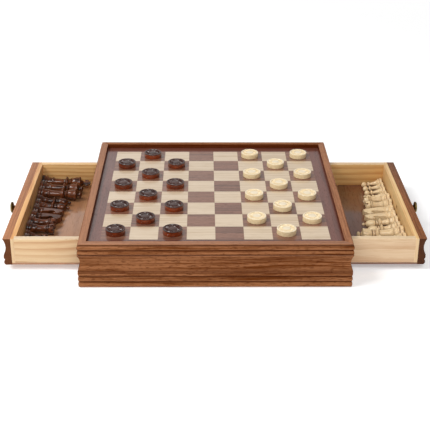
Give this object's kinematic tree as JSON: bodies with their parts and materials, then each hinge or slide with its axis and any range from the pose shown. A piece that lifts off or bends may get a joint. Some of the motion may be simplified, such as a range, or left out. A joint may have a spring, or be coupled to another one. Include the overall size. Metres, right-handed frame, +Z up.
{
  "type": "chess box with drawers",
  "caption": "Square chess and draughts box: framed chequered board on a moulded walnut case, with a pine-lined drawer of chessmen at each end and draughtsmen set out on top.",
  "frame": {"origin": "middle of the case's underside, on the surface that it stands on", "axes": "+Z up, +X from the left drawer to the right drawer, +Y away from the side that is seen as the front"},
  "size_m": [0.6264, 0.38, 0.0678],
  "materials": {
    "walnut_moulding": "satin lacquer over open grain",
    "walnut_border": "polished veneer",
    "walnut_square": "polished veneer",
    "maple_square": "polished veneer",
    "pine": "planed, thin lacquer",
    "drawer_sheet": "semi-gloss veneered sheet",
    "aged_brass": "antique, burnished on the edge",
    "screw_brass": "plain",
    "dark_draughtsman": "dark stain, gloss",
    "light_draughtsman": "clear satin",
    "dark_chessman": "dark stain, high gloss",
    "light_chessman": "clear satin"
  },
  "bodies": {
    "case": {"front_moulding": "walnut_moulding", "back_moulding": "walnut_moulding", "left_moulding": "walnut_moulding", "right_moulding": "walnut_moulding", "bottom_panel": "pine", "front_guide": "pine", "back_guide": "pine", "centre_divider": "pine", "board_core": "pine", "front_border": "walnut_border", "back_border": "walnut_border", "left_border": "walnut_border", "right_border": "walnut_border", "dark_squares": "walnut_square", "light_squares": "maple_square"},
    "left_drawer": {"left_drawer_front": "walnut_moulding", "left_drawer_inner_front": "pine", "left_drawer_near_side": "pine", "left_drawer_far_side": "pine", "left_drawer_back": "pine", "left_drawer_floor": "drawer_sheet", "left_knob": "aged_brass", "left_knob_screw": "screw_brass"},
    "right_drawer": {"right_drawer_front": "walnut_moulding", "right_drawer_inner_front": "pine", "right_drawer_near_side": "pine", "right_drawer_far_side": "pine", "right_drawer_back": "pine", "right_drawer_floor": "drawer_sheet", "right_knob": "aged_brass", "right_knob_screw": "screw_brass"},
    "dark_draughtsmen": {"dark_draughtsmen": "dark_draughtsman"},
    "light_draughtsmen": {"light_draughtsmen": "light_draughtsman"},
    "dark_chessmen": {"dark_king": "dark_chessman", "dark_queens": "dark_chessman", "dark_bishops": "dark_chessman", "dark_knights": "dark_chessman", "dark_rooks": "dark_chessman", "dark_pawns": "dark_chessman"},
    "dark_inner_pawns": {"dark_inner_pawns": "dark_chessman"},
    "light_chessmen": {"light_king": "light_chessman", "light_queens": "light_chessman", "light_bishops": "light_chessman", "light_knights": "light_chessman", "light_rooks": "light_chessman", "light_pawns": "light_chessman"},
    "light_inner_pawns": {"light_inner_pawns": "light_chessman"}
  },
  "joints": [
    {"name": "left_drawer_slide", "type": "slide", "parent": "case", "child": "left_drawer", "axis": [-1, 0, 0], "range_m": [-0.11, 0.06]},
    {"name": "right_drawer_slide", "type": "slide", "parent": "case", "child": "right_drawer", "axis": [1, 0, 0], "range_m": [-0.11, 0.06]},
    {"name": "dark_draughtsmen_lift", "type": "slide", "parent": "case", "child": "dark_draughtsmen", "axis": [0, 0, 1], "range_m": [0, 0.06]},
    {"name": "light_draughtsmen_lift", "type": "slide", "parent": "case", "child": "light_draughtsmen", "axis": [0, 0, 1], "range_m": [0, 0.06]},
    {"name": "dark_chessmen_lift", "type": "slide", "parent": "left_drawer", "child": "dark_chessmen", "axis": [0, 0, 1], "range_m": [0, 0.14]},
    {"name": "light_chessmen_lift", "type": "slide", "parent": "right_drawer", "child": "light_chessmen", "axis": [0, 0, 1], "range_m": [0, 0.14]},
    {"name": "dark_inner_pawns_lift", "type": "slide", "parent": "left_drawer", "child": "dark_inner_pawns", "axis": [0, 0, 1], "range_m": [0, 0.018]},
    {"name": "light_inner_pawns_lift", "type": "slide", "parent": "right_drawer", "child": "light_inner_pawns", "axis": [0, 0, 1], "range_m": [0, 0.018]}
  ]
}
